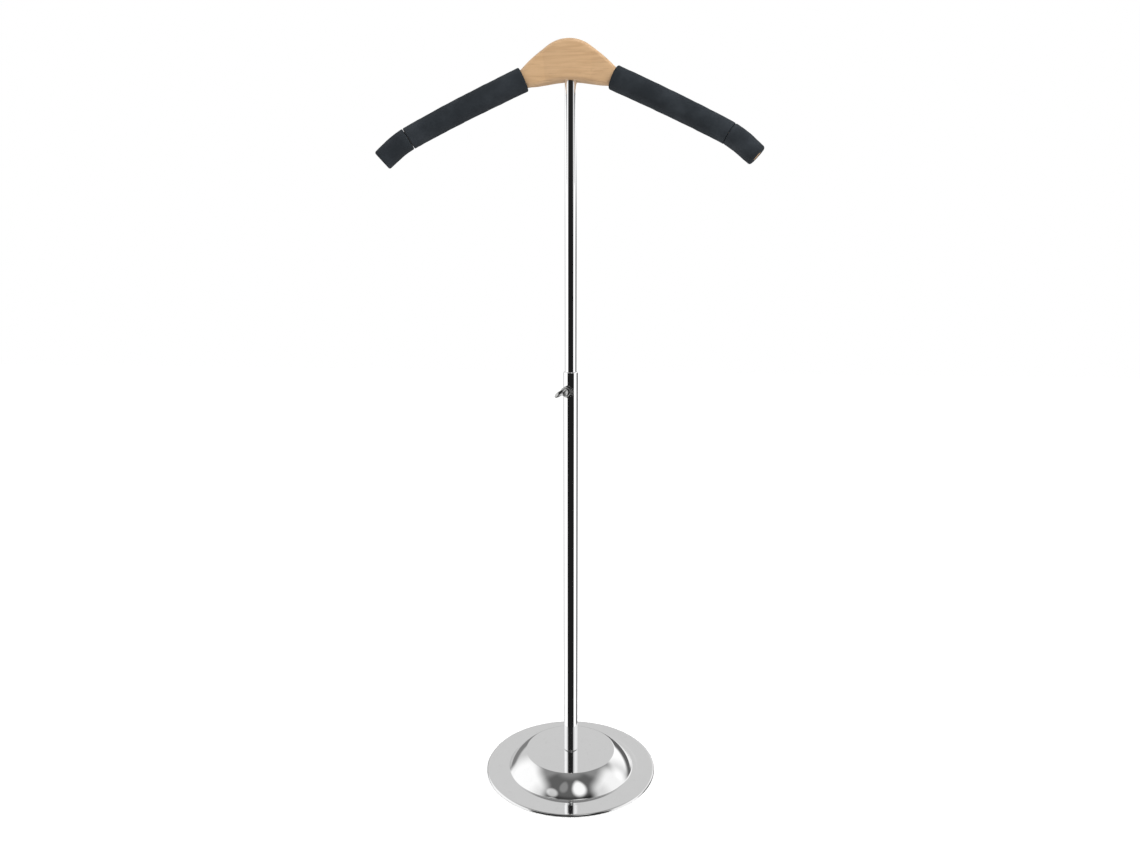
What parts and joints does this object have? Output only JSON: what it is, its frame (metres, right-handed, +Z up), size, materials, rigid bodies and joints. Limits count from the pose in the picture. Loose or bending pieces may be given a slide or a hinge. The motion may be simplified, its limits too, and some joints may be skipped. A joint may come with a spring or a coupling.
{
  "type": "garment display stand",
  "caption": "Free-standing garment stand: round stamped base, telescoping pole with a thumb-screw clamp, wooden shoulder head with foam sleeves and end caps.",
  "frame": {"origin": "on the floor under the pole's axis, at the middle of the base", "axes": "+Z up along the pole; +X towards the right arm, seen from the front; the arms bend forward, towards -Y"},
  "size_m": [0.3988, 0.2, 0.8236],
  "materials": {
    "base_chrome": "polished chrome plate on stamped steel",
    "tube_chrome": "mirror chrome plate",
    "clamp_nickel": "dull nickel plate with small tool marks",
    "plated_steel": "zinc plated",
    "ballast": "rough, dark lacquer",
    "pad": "matte non-slip sheet",
    "nylon": "natural nylon",
    "maple": "satin clear lacquer, fine horizontal grain",
    "foam": "matte fine-cell foam"
  },
  "bodies": {
    "stand": {"base_cover": "base_chrome", "base_pad": "pad", "ballast_disc": "ballast", "base_bolt": "plated_steel", "flat_washer": "plated_steel", "spring_washer": "plated_steel", "lower_tube_plug": "plated_steel", "lower_tube": "tube_chrome", "clamp_nut": "clamp_nickel"},
    "slider": {"slider_bush": "nylon"},
    "mast": {"upper_tube": "tube_chrome", "upper_tube_plug": "plated_steel", "hanger_stud": "plated_steel", "hanger_body": "maple", "foam_sleeve_left": "foam", "foam_sleeve_right": "foam", "foam_cap_left": "foam", "foam_cap_right": "foam"},
    "clamp_tip": {"screw_tip": "nylon"},
    "clamp_screw": {"thumb_screw": "clamp_nickel"}
  },
  "joints": [
    {"name": "mast_slide", "type": "slide", "parent": "stand", "child": "slider", "axis": [0, 0, 1], "range_m": [-0.28, 0.08]},
    {"name": "mast_turn", "type": "hinge", "parent": "slider", "child": "mast", "pos_m": [0, 0, 0.4], "axis": [0, 0, 1], "continuous": true},
    {"name": "screw_travel", "type": "slide", "parent": "stand", "child": "clamp_tip", "axis": [-0.4067, -0.9135, 0], "range_m": [0, 0.003]},
    {"name": "screw_turn", "type": "hinge", "parent": "clamp_tip", "child": "clamp_screw", "pos_m": [0, 0, 0.4566], "axis": [-0.4067, -0.9135, 0], "range_deg": [0, 1080]}
  ],
  "couplings": [
    {"joint": "screw_turn", "follows": "screw_travel", "rad_per_m": 6283.2}
  ]
}
